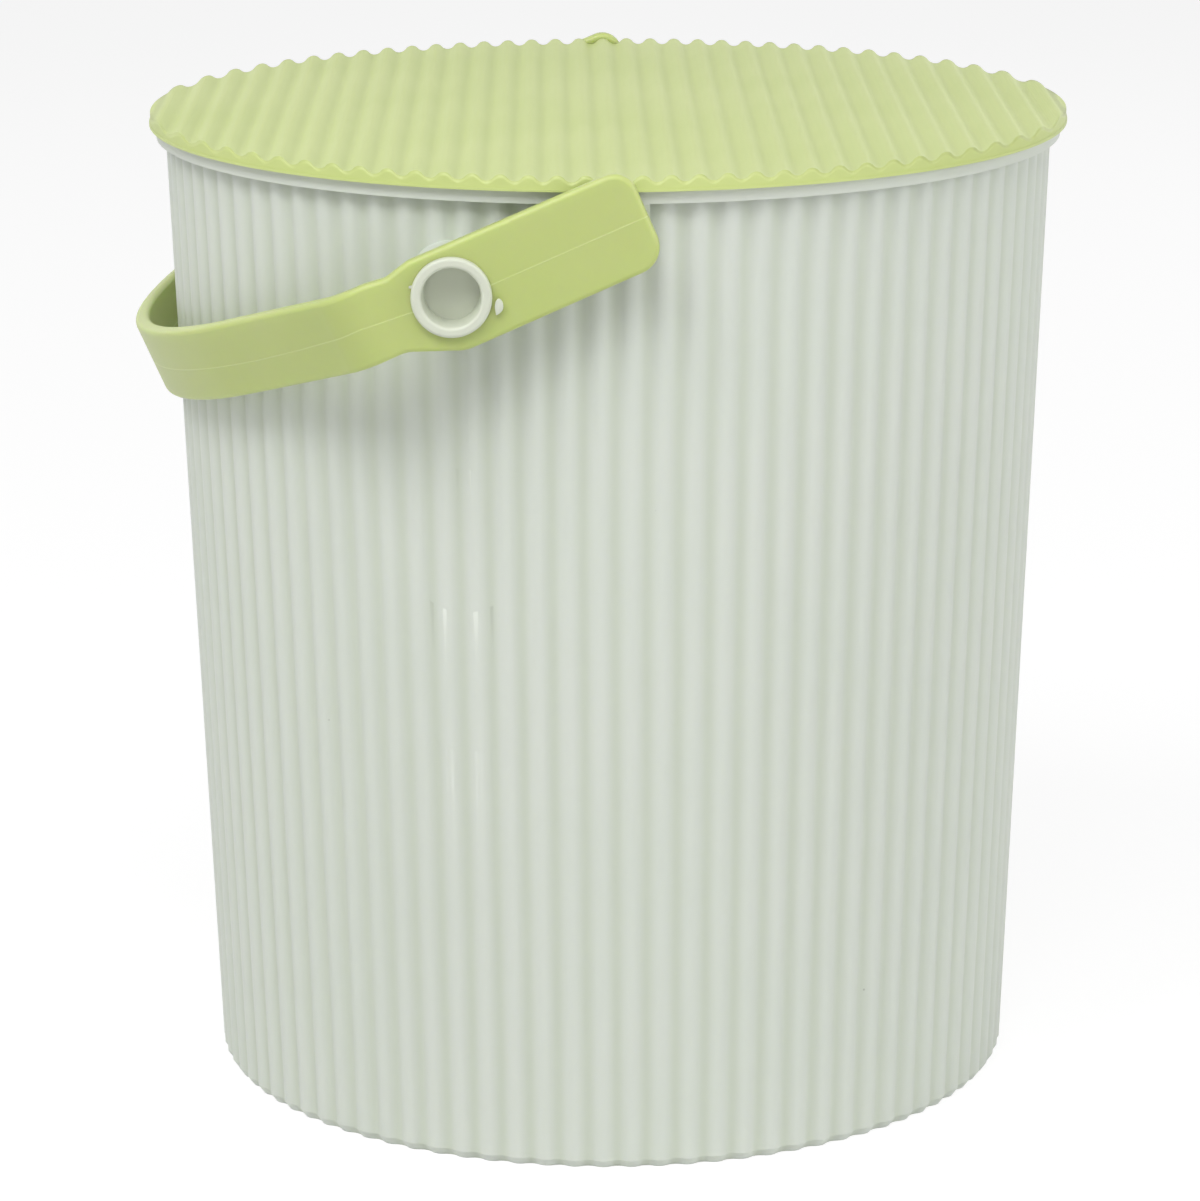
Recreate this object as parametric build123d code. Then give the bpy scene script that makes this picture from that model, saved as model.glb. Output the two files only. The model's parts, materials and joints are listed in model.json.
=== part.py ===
"""A lidded plastic bucket with a ribbed pail, a ribbed lid and a swinging strap handle.

Millimetres, +Z up. The origin is the centre of the foot. The front faces -Y, and the handle
hangs towards -X.
"""
from build123d import *
from math import cos, hypot, pi, radians, sin, sqrt, tan
import os

os.makedirs("parts", exist_ok=True)

# Lid
lid_radius = 170.0
lid_top = 364.3
lid_ribs = 35
lid_rib_pitch = 9.63
lid_rib_height = 2.3
lid_wall = 2.2
lid_edge_height = 3.2
lid_lip_height = 0.9
lid_lip_step = 0.4
lid_gap = 0.3
ring_clearance = 0.9
ring_wall = 2.0
ring_depth = 8.0
stiffener_wall = 2.0
stiffener_depth = 4.5
stiffener_pitch = 52.0
stiffeners = 5

# Pail
wall_draft = 2.14
wall = 2.0
rib_count = 90
rib_height = 1.5
rib_turn = 2.0
foot_edge = 3.0
foot_inset = 2.0
foot_width = 9.0
foot_height = 5.0
floor = 3.0
lid_overhang = 2.5
rim_overhang = 3.3038
rim_height = 4.2
rim_wall = 2.0
pad_width = 24.0
pad_height = 22.0

# Handle
pivot_offset = 55.3
pivot_drop = 39.5
rest_angle = 23.6
handle_wall = 5.5
handle_side_gap = 1.5
swing_gap = 0.5
arm_angle = 50.5
hub_bend = 20.0
handle_rounding = 1.8
tail_length = 71.8
tail_top = 16.3
tail_bottom = 19.0
tail_top_corner = 8.0
tail_bottom_corner = 9.5
hub_top_end = 9.0
hub_top = 16.9
hub_bottom_end = 3.0
hub_bottom = 19.2
hub_rounding = 8.0
notch = 18.0
notch_top = 14.6
notch_rounding = 5.0
neck = 22.0
neck_bottom = 11.4
neck_rounding = 12.0
arm_start = 26.0
arm_top = 15.6
bow_top = 12.6
bow_bottom = 15.8

# Pivots
sleeve_radius = 12.0
sleeve_wall = 1.6
turning_gap = 0.08
press = 0.03
boss_wall = 3.0
boss_depth = 12.0
side_gap = 0.3
flange_radius = 13.8
flange_height = 2.7
flange_rounding = 1.2
cup_radius = 10.3
cup_depth = 10.8
cup_taper = 0.9
cup_floor = 2.0
end_gap = 0.5

# Levels and radii that follow from those sizes
lid_valley = lid_top - lid_rib_height
lid_seat = lid_valley - lid_edge_height
rim_top = lid_seat - lid_gap
rim_bottom = rim_top - rim_height
rim_radius = lid_radius - lid_overhang
pivot_height = lid_top - pivot_drop
slope = tan(radians(wall_draft))


def crest_radius(z):
    """Radius over the ribs of the pail at the height z."""
    return rim_radius - rim_overhang - (rim_top - z) * slope


def inner_radius(z):
    """Radius of the smooth inside of the pail at the height z."""
    return crest_radius(z) - rib_height - wall


mouth_radius = inner_radius(rim_top)
ring_radius = inner_radius(rim_top - ring_depth) - ring_clearance
handle_inside = lid_radius + handle_side_gap
boss_face = handle_inside - side_gap
flange_seat = handle_inside + handle_wall + side_gap
plug_front = flange_seat + flange_height
bore_end = boss_face - boss_depth


def wave(length, crests, height):
    """Points of a wave as (along, up) pairs: crest, way down, valley, way up."""
    pitch = length / crests
    steps = range(4 * crests + 1)
    return [(k * pitch / 4, height / 2 * (1 + cos(k * pi / 2))) for k in steps]


def rib_ring(radius, z):
    """Closed outline of the ribbed wall: one arc over each crest, one through each valley."""
    places = [
        (radius - rib_height + up, radians(rib_turn - 90) + along)
        for along, up in wave(2 * pi, rib_count, rib_height)[:-1]
    ]
    points = [Vector(r * cos(a), r * sin(a), z) for r, a in places]
    arcs = [
        Edge.make_three_point_arc(points[k - 1], points[k], points[k + 1])
        for k in range(0, len(points), 2)
    ]
    return Wire(arcs)


def cone(radius_at, bottom, top):
    """Solid of revolution whose radius follows the given rule."""
    half = Polyline(
        (0, bottom), (radius_at(bottom), bottom), (radius_at(top), top), (0, top), close=True
    )
    return revolve(Plane.XZ * make_face(half), Axis.Z)


def ring(inner, outer, bottom, top):
    """Plain ring about the upright axis."""
    height = top - bottom
    tube = Cylinder(outer, height) - Cylinder(inner, height)
    return Pos(0, 0, bottom + height / 2) * tube


def ribbed_wall():
    """Tapered wall with its upright ribs, drawn in at the foot."""
    foot = rib_ring(crest_radius(0) - foot_inset, 0)
    edge = rib_ring(crest_radius(foot_edge), foot_edge)
    top = rib_ring(crest_radius(rim_top - rim_wall), rim_top - rim_wall)
    return Solid.make_loft([foot, edge], True) + Solid.make_loft([edge, top], True)


def rim():
    """Flange round the mouth with a lip turned down clear of the ribs."""
    flange = ring(mouth_radius - rim_wall, rim_radius, rim_top - rim_wall, rim_top)
    lip = ring(rim_radius - rim_wall, rim_radius, rim_bottom, rim_top)
    return flange + lip


def guide_pad():
    """Pad under the rim behind the tail of the handle, flush with the rim."""
    depth = rim_radius - crest_radius(0)
    block = Box(pad_width, 2 * depth, pad_height)
    block = Pos(0, -crest_radius(0) - depth / 2, rim_top - pad_height / 2) * block
    return block & Pos(0, 0, rim_top / 2) * Cylinder(rim_radius, rim_top)


def along_y(radius, start, end):
    """Round bar beside the pivot, from start to end towards the front."""
    bar = Cylinder(radius, end - start)
    return Pos(-pivot_offset, -(start + end) / 2, pivot_height) * Rot(90, 0, 0) * bar


def pail():
    """Ribbed pail with its rim, foot, guide pads and pivot bosses."""
    body = ribbed_wall() + rim()
    bore = along_y(sleeve_radius, bore_end, flange_seat)
    for front in (guide_pad(), along_y(sleeve_radius + boss_wall, 0, boss_face)):
        body += [front, mirror(front, Plane.XZ)]
    body -= cone(inner_radius, foot_height + floor, lid_top)
    body -= Pos(0, 0, foot_height / 2) * Cylinder(crest_radius(0) - foot_width, foot_height)
    return body - bore - mirror(bore, Plane.XZ)


def lid_sheet(bottom, lift):
    """Block under the parallel ribs of the lid, from bottom up to the ribs less lift."""
    half = lid_ribs * lid_rib_pitch / 2
    top = [
        (along - half, lid_valley - lift + lid_rib_height - up)
        for along, up in wave(2 * half, lid_ribs, lid_rib_height)
    ]
    arcs = [ThreePointArc(top[k - 1], top[k], top[k + 1]) for k in range(2, len(top) - 1, 2)]
    first, last = top[1], top[-2]
    reach = lid_radius + lid_rib_pitch
    ends = Polyline(last, (reach, last[1]), (reach, bottom), (-reach, bottom), (-reach, first[1]), first)
    section = Plane.XZ * make_face(arcs + [ends])
    return extrude(section, reach, both=True)


def lid():
    """Ribbed disc with a stepped edge, a ring that locates in the mouth, and stiffeners."""
    body_radius = lid_radius - lid_lip_step
    height = lid_top - lid_seat + 1
    middle = lid_seat + height / 2
    body = lid_sheet(lid_seat, 0) & Pos(0, 0, middle) * Cylinder(body_radius, height)
    hollow = ring_radius - ring_wall
    body -= lid_sheet(lid_seat, lid_wall) & Pos(0, 0, middle) * Cylinder(hollow, height)
    body += ring(hollow, lid_radius, lid_seat, lid_seat + lid_lip_height)
    body += ring(hollow, ring_radius, lid_seat - ring_depth, lid_seat)
    bottom = lid_seat - stiffener_depth
    top = lid_valley - lid_wall / 2
    for k in range(stiffeners):
        y = (k - (stiffeners - 1) / 2) * stiffener_pitch
        half = sqrt(hollow**2 - y**2) + ring_wall / 2
        bar = Box(2 * half, stiffener_wall, top - bottom)
        body += Pos(0, y, (top + bottom) / 2) * bar
    return body


def strap_plan(inside, reach):
    """Plan of the strap's one face: side, bend, slanting arm, and an arc round the bow."""
    axis = -pivot_offset / cos(radians(rest_angle))
    turn = radians(90 - arm_angle)
    tangent = (axis + reach * cos(turn), reach * sin(turn))
    corner = (axis + (reach - inside * sin(turn)) / cos(turn), inside)
    start = (-2 * tail_length, inside)
    side = Polyline(start, corner, tangent)
    other = Polyline((start[0], -inside), (corner[0], -inside), (tangent[0], -tangent[1]))
    bow = ThreePointArc(tangent, (axis + reach, 0), (tangent[0], -tangent[1]))
    close = Line(start, (start[0], -inside))
    face = make_face([side, other, bow, close])
    bends = [v for v in face.vertices() if abs(v.X - corner[0]) < 0.01]
    return fillet(bends, hub_bend)


def strap_side():
    """Side outline of the strap: tail, hub round the pivot, notch or neck, and arm."""
    end = 2 * pivot_offset + tail_length
    outline = [
        (-tail_length, tail_top, tail_top_corner),
        (hub_top_end, hub_top, hub_rounding),
        (notch, notch_top, notch_rounding),
        (arm_start, arm_top, neck_rounding),
        (end, bow_top, 0),
        (end, -bow_bottom, 0),
        (neck, -neck_bottom, neck_rounding),
        (hub_bottom_end, -hub_bottom, neck_rounding),
        (-tail_length, -tail_bottom, tail_bottom_corner),
    ]
    face = make_face(Polyline(*[(x, y) for x, y, corner in outline], close=True))
    for x, y, corner in outline:
        if corner:
            at = [v for v in face.vertices() if hypot(v.X - x, v.Y - y) < 0.01]
            face = fillet(at, corner)
    return face


def strap():
    """One strap from tail to tail, lying level with its bow towards +X, its edges rounded."""
    swing = hypot(lid_radius - pivot_offset, lid_top - pivot_height)
    reach = swing + swing_gap + pivot_offset / cos(radians(rest_angle))
    outer = strap_plan(handle_inside + handle_wall, reach + handle_wall)
    inner = strap_plan(handle_inside, reach)
    band = extrude(outer - inner, 2 * tail_bottom, both=True)
    side = extrude(Plane.XZ * strap_side(), 2 * handle_inside, both=True)
    shape = band & side
    return fillet(shape.edges(), handle_rounding)


def handle():
    """The strap hung at its rest angle, with a hole in each hub for its pivot."""
    down = radians(rest_angle)
    hang = Plane(
        origin=(-pivot_offset, 0, pivot_height),
        x_dir=(-cos(down), 0, -sin(down)),
        z_dir=(-sin(down), 0, cos(down)),
    )
    hole = along_y(sleeve_radius + press + turning_gap, 0, 2 * handle_inside)
    return hang * strap() - hole - mirror(hole, Plane.XZ)


def plug():
    """Flanged cup that is pressed into the boss and carries the handle on its sleeve."""
    back = bore_end + end_gap
    floor_front = plug_front - cup_depth
    floor_back = floor_front - cup_floor
    outside = sleeve_radius + press
    inside = outside - sleeve_wall
    half = Polyline(
        (0, floor_front),
        (cup_radius - cup_taper, floor_front),
        (cup_radius, plug_front),
        (flange_radius, plug_front),
        (flange_radius, flange_seat),
        (outside, flange_seat),
        (outside, back),
        (inside, back),
        (inside, floor_back),
        (0, floor_back),
        close=True,
    )
    face = make_face(half)
    front = [v for v in face.vertices() if abs(v.Y - plug_front) < 0.01]
    face = fillet(front, flange_rounding)
    spun = revolve(Plane.XY * face, Axis.Y)
    return Pos(-pivot_offset, 0, pivot_height) * mirror(spun, Plane.XZ)


front_plug = plug()
pieces = {
    "pail": pail(),
    "lid": lid(),
    "handle": handle(),
    "pivot_plug_front": front_plug,
    "pivot_plug_back": mirror(front_plug, Plane.XZ),
}
for name, piece in pieces.items():
    export_step(piece, f"parts/{name}.step")
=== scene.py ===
import bmesh
import bpy
import json
from math import cos, pi, radians, sin
from mathutils import Matrix, Vector


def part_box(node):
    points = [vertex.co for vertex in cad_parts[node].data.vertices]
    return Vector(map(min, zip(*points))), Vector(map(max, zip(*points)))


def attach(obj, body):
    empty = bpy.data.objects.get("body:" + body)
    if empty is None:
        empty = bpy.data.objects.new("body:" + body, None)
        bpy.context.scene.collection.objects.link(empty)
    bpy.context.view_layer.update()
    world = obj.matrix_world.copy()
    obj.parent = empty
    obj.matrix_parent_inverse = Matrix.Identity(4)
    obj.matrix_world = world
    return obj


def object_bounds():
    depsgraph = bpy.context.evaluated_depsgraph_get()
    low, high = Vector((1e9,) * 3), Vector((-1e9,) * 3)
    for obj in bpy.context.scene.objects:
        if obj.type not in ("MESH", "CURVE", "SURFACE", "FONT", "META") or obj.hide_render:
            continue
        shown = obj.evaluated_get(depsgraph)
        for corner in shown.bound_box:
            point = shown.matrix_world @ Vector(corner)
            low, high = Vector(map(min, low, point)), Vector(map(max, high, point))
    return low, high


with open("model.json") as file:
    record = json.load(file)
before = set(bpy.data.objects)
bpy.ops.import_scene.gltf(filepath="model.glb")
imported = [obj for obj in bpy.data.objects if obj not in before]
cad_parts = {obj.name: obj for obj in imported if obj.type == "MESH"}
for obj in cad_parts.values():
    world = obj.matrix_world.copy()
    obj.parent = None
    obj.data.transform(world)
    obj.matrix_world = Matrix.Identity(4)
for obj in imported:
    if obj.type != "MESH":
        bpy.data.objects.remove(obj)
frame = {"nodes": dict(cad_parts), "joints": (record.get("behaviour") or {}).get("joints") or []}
cad_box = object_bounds()


# Pail: one injection moulding in pale mint polypropylene. The mould leaves a fine even grain on
# it, the melt leaves faint clouds, and a few dark specks of dust cling to the wall.
class Wire:
    """A value in a shader. Arithmetic on it adds Math nodes, and node() adds any other kind."""

    def __init__(self, tree, socket=None):
        self.tree = tree
        self.socket = socket

    def node(self, kind, settings, inputs, output=0):
        new = self.tree.nodes.new("ShaderNode" + kind)
        for key, setting in settings.items():
            if key == "stops":
                ramp = new.color_ramp
                while len(ramp.elements) < len(setting):
                    ramp.elements.new(1)
                for element, (position, grey) in zip(ramp.elements, setting):
                    element.position = position
                    element.color = (grey, grey, grey, 1)
            else:
                setattr(new, key, setting)
        for key, value in inputs.items():
            if isinstance(value, Wire):
                self.tree.links.new(value.socket, new.inputs[key])
            else:
                new.inputs[key].default_value = value
        return Wire(self.tree, new.outputs[output] if new.outputs else None)

    def math(self, operation, other=0.0):
        return self.node("Math", {"operation": operation}, {0: self, 1: other})

    def vector(self, operation, other=(0, 0, 0), output="Vector"):
        return self.node("VectorMath", {"operation": operation}, {0: self, 1: other}, output)

    def __add__(self, other):
        return self.math("ADD", other)

    def __sub__(self, other):
        return self.math("SUBTRACT", other)

    def __rsub__(self, other):
        return self.node("Math", {"operation": "SUBTRACT"}, {0: other, 1: self})

    def __mul__(self, other):
        return self.math("MULTIPLY", other)

    def __abs__(self):
        return self.math("ABSOLUTE")

    __radd__ = __add__
    __rmul__ = __mul__

    def between(self, low, high):
        """0 at low, 1 at high, smooth in between."""
        limits = {"Value": self, "From Min": low, "From Max": high}
        return self.node("MapRange", {"interpolation_type": "SMOOTHSTEP"}, limits)

    def paint(self, under, colour):
        """The colour under it where this mask is 0, and the new colour where it is 1."""
        return self.node("Mix", {"data_type": "RGBA"}, {0: self, 6: under, 7: colour}, 2)


def srgb(red, green, blue):
    """Linear colour with alpha from the 0 to 255 values that a picture shows."""
    shown = [v / 255 for v in (red, green, blue)]
    linear = [v / 12.92 if v <= 0.04045 else ((v + 0.055) / 1.055) ** 2.4 for v in shown]
    return (*linear, 1)


class Plastic:
    """Moulded polypropylene: a colour with faint clouds, a sheen and the grain of the mould."""

    cloud_scale = 14.0
    cloud_range = (0.3, 0.7)
    grain_scale = 1500.0
    grain_height = 0.000012
    grain_roughness = 0.08
    cloud_roughness = 0.06
    refraction = 1.49
    light_depth = 0.004
    light_spread = (1.0, 1.0, 0.6)

    def __init__(self, name, colour, cloud, roughness, translucence):
        self.material = bpy.data.materials.new(name)
        self.material.use_nodes = True
        tree = self.material.node_tree
        self.shader = tree.nodes["Principled BSDF"]
        self.place = Wire(tree).node("TexCoord", {}, {}, "Object")
        self.axes = [self.place.node("SeparateXYZ", {}, {0: self.place}, axis) for axis in range(3)]
        wide = {"Vector": self.place, "Scale": self.cloud_scale, "Detail": 3.0}
        fine = {"Vector": self.place, "Scale": self.grain_scale, "Detail": 2.0}
        clouds = self.place.node("TexNoise", {}, wide)
        grain = self.place.node("TexNoise", {}, fine)
        uneven = self.grain_roughness * (grain - 0.5) + self.cloud_roughness * (clouds - 0.5)
        self.colour = clouds.between(*self.cloud_range).paint(colour, cloud)
        self.height = grain * self.grain_height
        self.roughness = roughness + uneven
        self.shader.inputs["IOR"].default_value = self.refraction
        self.shader.inputs["Subsurface Weight"].default_value = translucence
        self.shader.inputs["Subsurface Radius"].default_value = self.light_spread
        self.shader.inputs["Subsurface Scale"].default_value = self.light_depth

    def dress(self, piece):
        """Joins the wires to the shader and puts the material on the piece."""
        bump = {"Strength": 1.0, "Distance": 1.0, "Height": self.height}
        normal = self.place.node("Bump", {}, bump, "Normal")
        tree = self.material.node_tree
        tree.links.new(self.colour.socket, self.shader.inputs["Base Color"])
        tree.links.new(self.roughness.socket, self.shader.inputs["Roughness"])
        tree.links.new(normal.socket, self.shader.inputs["Normal"])
        piece.material_slots[0].material = self.material


mint = srgb(211, 216, 207)
mint_cloud = srgb(209, 215, 205)
mint_valley_shade = srgb(200, 207, 192)
dust = srgb(120, 118, 108)
dust_scale = 30.0
dust_size = (0.012, 0.022)
dust_strength = 0.6
flute_count = 90
first_crest = radians(-88)
rim_height = 0.0045
rim_step = 0.0002
flutes_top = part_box("pail")[1].z - rim_height

pail_plastic = Plastic("mint_plastic", mint, mint_cloud, 0.42, 0.1)
east, north, up = pail_plastic.axes
flute_phase = (north.math("ARCTAN2", east) - first_crest) * flute_count
fluted = 1 - up.between(flutes_top, flutes_top + rim_step)
valley = (0.5 - 0.5 * flute_phase.math("COSINE")) * fluted
specks = pail_plastic.place.node("TexVoronoi", {}, {"Vector": pail_plastic.place, "Scale": dust_scale})
speck = 1 - specks.between(*dust_size)
# Shade in the hollows of the flutes is painted here: the valleys are coloured darker than the crests.
pail_plastic.colour = (valley * valley).paint(pail_plastic.colour, mint_valley_shade)
pail_plastic.colour = (speck * dust_strength).paint(pail_plastic.colour, dust)
pail_plastic.dress(frame["nodes"]["pail"])


# Pivot plugs: mint cups pressed into the bosses of the pail. Light that comes through the handle
# round them tints them green. Each keeps the leaf and the stub of its moulding gates.
plug_mint = srgb(209, 213, 197)
plug_cloud = srgb(205, 210, 193)
leaf_width = 0.0029
leaf_height = 0.0056
leaf_taper = 0.45
leaf_lean = 0.0009
leaf_thickness = 0.0009
leaf_out = 0.01605
leaf_down = 0.0033
stub_radius = 0.0007
stub_taper = 0.6
stub_length = 0.0012
stub_out = 0.0137
stub_up = 0.0036
behind_face = 0.0017
edge_width = 0.00012

plug_plastic = Plastic("plug_plastic", plug_mint, plug_cloud, 0.38, 0.1)


def gate_marks(name, plug, side):
    """Leaf and stub left on the flange of a plug, side -1 at the front and 1 at the back."""
    low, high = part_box(plug)
    flange_face = low.y if side < 0 else high.y
    middle = Vector(((low.x + high.x) / 2, flange_face - side * behind_face, (low.z + high.z) / 2))
    shape = bmesh.new()
    bmesh.ops.create_circle(shape, cap_ends=True, radius=1, segments=28)
    for vertex in shape.verts:
        x, y, z = vertex.co
        below = max(0, -y)
        half_width = (1 - leaf_taper * below ** 2) * leaf_width / 2
        vertex.co = (x * half_width - leaf_lean * below ** 3, y * leaf_height / 2, 0)
    raised = bmesh.ops.extrude_face_region(shape, geom=shape.faces[:])
    top = [v for v in raised["geom"] if isinstance(v, bmesh.types.BMVert)]
    bmesh.ops.translate(shape, verts=top, vec=(0, 0, leaf_thickness))
    bmesh.ops.translate(shape, verts=shape.verts, vec=(leaf_out, -leaf_down, -leaf_thickness / 2))
    stub_place = Matrix.Translation((-stub_out, stub_up, 0)) @ Matrix.Rotation(-pi / 2, 4, "Y")
    bmesh.ops.create_cone(
        shape, cap_ends=True, segments=16, radius1=stub_radius, radius2=stub_radius * stub_taper,
        depth=stub_length, matrix=stub_place,
    )
    upright = Matrix.Translation(middle) @ Matrix.Rotation(pi / 2, 4, "X")
    bmesh.ops.transform(shape, verts=shape.verts, matrix=upright)
    bmesh.ops.recalc_face_normals(shape, faces=shape.faces)
    bmesh.ops.bevel(
        shape, geom=shape.edges[:], offset=edge_width, segments=2, profile=0.5, affect="EDGES", material=-1
    )
    mesh = bpy.data.meshes.new(name)
    shape.to_mesh(mesh)
    shape.free()
    mesh.shade_smooth()
    marks = bpy.data.objects.new(name, mesh)
    bpy.context.scene.collection.objects.link(marks)
    marks.data.materials.append(plug_plastic.material)
    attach(marks, "pail")


for plug in ("pivot_plug_front", "pivot_plug_back"):
    plug_plastic.dress(frame["nodes"][plug])
gate_marks("gate_marks_front", "pivot_plug_front", -1)
gate_marks("gate_marks_back", "pivot_plug_back", 1)


# Handle: one strap moulded in translucent yellow-green polypropylene. The two halves of its mould
# meet along the middle of the strap and leave a hairline ridge there, painted lighter as a highlight.
lime = srgb(188, 199, 126)
lime_cloud = srgb(184, 197, 120)
lime_line_highlight = srgb(214, 224, 160)
pivot = Vector(frame["joints"][0]["pos_m"])
rest_angle = radians(23.6)
line_half_width = 0.00022
line_highlight_strength = 0.45
line_height = 0.00006
line_scale = 100
line_range = (-0.08, 0.2)
line_course = [
    (-0.08, -0.0018), (0.0, -0.0018), (0.015, 0.0005), (0.033, 0.002), (0.057, 0.0), (0.076, -0.001)
]

handle_plastic = Plastic("lime_plastic", lime, lime_cloud, 0.4, 0.6)
handle_plastic.shader.inputs["Subsurface Scale"].default_value = 0.006
handle_plastic.shader.inputs["Subsurface Radius"].default_value = (0.8, 1.0, 0.3)
along_strap = Vector((-cos(rest_angle), 0, -sin(rest_angle)))
across_strap = Vector((-sin(rest_angle), 0, cos(rest_angle)))


def reach(place, direction):
    """How far the surface lies from the pivot in a direction, in metres."""
    return place.vector("DOT_PRODUCT", direction, "Value") - pivot.dot(direction)


along = reach(handle_plastic.place, along_strap)
across = reach(handle_plastic.place, across_strap)
start, end = line_range
stops = [((s - start) / (end - start), 0.5 + line_scale * shift) for s, shift in line_course]
course = along.node("ValToRGB", {"stops": stops}, {"Fac": (along - start) * (1 / (end - start))})
off_line = abs(across - (course - 0.5) * (1 / line_scale))
line = 1 - off_line.between(line_half_width / 2, line_half_width * 1.5)
# The hairline's lighter colour is a painted highlight along the ridge; its rise is in the height below.
handle_plastic.colour = (line * line_highlight_strength).paint(handle_plastic.colour, lime_line_highlight)
handle_plastic.height = handle_plastic.height + line * line_height
handle_plastic.dress(frame["nodes"]["handle"])


# Lid: a disc in the same yellow-green plastic, with parallel waves across it. Its outer edge and
# the crests of its waves are eased, as in a polished mould.
lid_lime = srgb(199, 211, 136)
lid_cloud = srgb(195, 208, 131)
wave_pitch = 0.00963
wave_depth = 0.0023
edge_rounding = 0.0013
lid_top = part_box("lid")[1].z
lid_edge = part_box("lid")[1].x - 0.0004

lid_plastic = Plastic("lid_plastic", lid_lime, lid_cloud, 0.45, 0.1)
east, north, up = lid_plastic.axes
outward = lid_plastic.place.vector("MULTIPLY", (1, 1, 0)).vector("LENGTH", output="Value")
wave = (east * (2 * pi / wave_pitch)).math("COSINE")
wave_top = lid_top - wave_depth / 2 + (wave_depth / 2) * wave
past_rim = (outward - (lid_edge - edge_rounding)).math("MAXIMUM")
past_top = (up - wave_top + edge_rounding).math("MAXIMUM")
eased = (past_rim * past_rim + past_top * past_top) * (0.5 / edge_rounding)
lid_plastic.height = lid_plastic.height - eased
lid_plastic.dress(frame["nodes"]["lid"])


# Floor: a plain white sheet that keeps only the bucket's soft shadow.
floor_half = 12
floor_white = (0.8, 0.8, 0.8, 1)
floor_shadow = (0.22, 0.22, 0.22, 1)
floor_glow = 0.85

sheet = bmesh.new()
bmesh.ops.create_grid(sheet, x_segments=1, y_segments=1, size=floor_half)
bmesh.ops.translate(sheet, verts=sheet.verts, vec=(0, 0, -0.0001))
floor_mesh = bpy.data.meshes.new("floor")
sheet.to_mesh(floor_mesh)
sheet.free()
floor = bpy.data.objects.new("floor", floor_mesh)
bpy.context.scene.collection.objects.link(floor)
floor_material = bpy.data.materials.new("floor")
floor_material.use_nodes = True
floor_material.node_tree.nodes.clear()
studio = Wire(floor_material.node_tree)


def seen_rays(wire):
    """1 for rays that show the background, straight or by a reflection, and 0 for those that light."""
    kinds = ("Is Camera Ray", "Is Glossy Ray", "Is Transmission Ray")
    straight, glossy, through = (wire.node("LightPath", {}, {}, kind) for kind in kinds)
    return straight.math("MAXIMUM", glossy).math("MAXIMUM", through)


matt = studio.node("BsdfDiffuse", {}, {"Color": floor_white})
faint = studio.node("BsdfDiffuse", {}, {"Color": floor_shadow})
glow = studio.node("Emission", {}, {"Color": (1, 1, 1, 1), "Strength": floor_glow})
bright = studio.node("AddShader", {}, {0: faint, 1: glow})
mixed = studio.node("MixShader", {}, {0: seen_rays(studio), 1: matt, 2: bright})
studio.node("OutputMaterial", {}, {"Surface": mixed})
floor_mesh.materials.append(floor_material)


# Light: a white studio room, and soft round lamps that all stand at one distance from the bucket.
# Each lamp is a name, its turn from the front and its rise in degrees, its width and its watts.
room_level = 0.17
lamp_distance = 2.5
lamps = [
    ("front_low", 0, 15, 1.6, 3.5),
    ("front_high", 0, 50, 1.2, 17.5),
    ("left", -65, 20, 1.6, 6.5),
    ("right", 65, 20, 1.6, 21.0),
    ("left_high", -45, 50, 1.2, 27.0),
    ("right_high", 45, 50, 1.2, 1.5),
    ("back_left", -140, 20, 1.6, 3.0),
    ("back_right", 140, 20, 1.6, 5.5),
]
aim = (Vector(cad_box[0]) + Vector(cad_box[1])) / 2
for name, turn, rise, width, power in lamps:
    swing = Matrix.Rotation(radians(turn), 3, "Z") @ Matrix.Rotation(radians(-rise), 3, "X")
    way = swing @ Vector((0, -1, 0))
    lamp = bpy.data.lights.new(name + "_lamp", "AREA")
    lamp.shape = "DISK"
    lamp.size = width
    lamp.energy = power
    holder = bpy.data.objects.new(name + "_lamp", lamp)
    holder.location = aim + lamp_distance * way
    holder.rotation_euler = way.to_track_quat("Z", "Y").to_euler()
    bpy.context.scene.collection.objects.link(holder)

world = bpy.data.worlds.new("studio")
bpy.context.scene.world = world
world.use_nodes = True
world.node_tree.nodes.clear()
room = Wire(world.node_tree)
level = room_level + (1 - room_level) * seen_rays(room)
background = room.node("Background", {}, {"Color": (1, 1, 1, 1), "Strength": level})
room.node("OutputWorld", {}, {"Surface": background})


# Camera: the photograph's, at its distance of about 1.75 m, looking down by 14.6 degrees.
camera_place = Vector((-0.0215, -1.7494, 0.6281))
camera_turn = 0.0101
camera_tilt = 0.2548
camera_roll = -0.0046
picture_height = 1201
focal_pixels = 4734.9

lens = bpy.data.cameras.new("camera")
lens.sensor_width = 36
lens.lens = focal_pixels / picture_height * lens.sensor_width
camera = bpy.data.objects.new("camera", lens)
bpy.context.scene.collection.objects.link(camera)
camera.matrix_world = (
    Matrix.Translation(camera_place)
    @ Matrix.Rotation(-camera_turn, 4, "Z")
    @ Matrix.Rotation(pi / 2 - camera_tilt, 4, "X")
    @ Matrix.Rotation(camera_roll, 4, "Z")
)
bpy.context.scene.camera = camera
bpy.context.scene.view_settings.view_transform = "Standard"
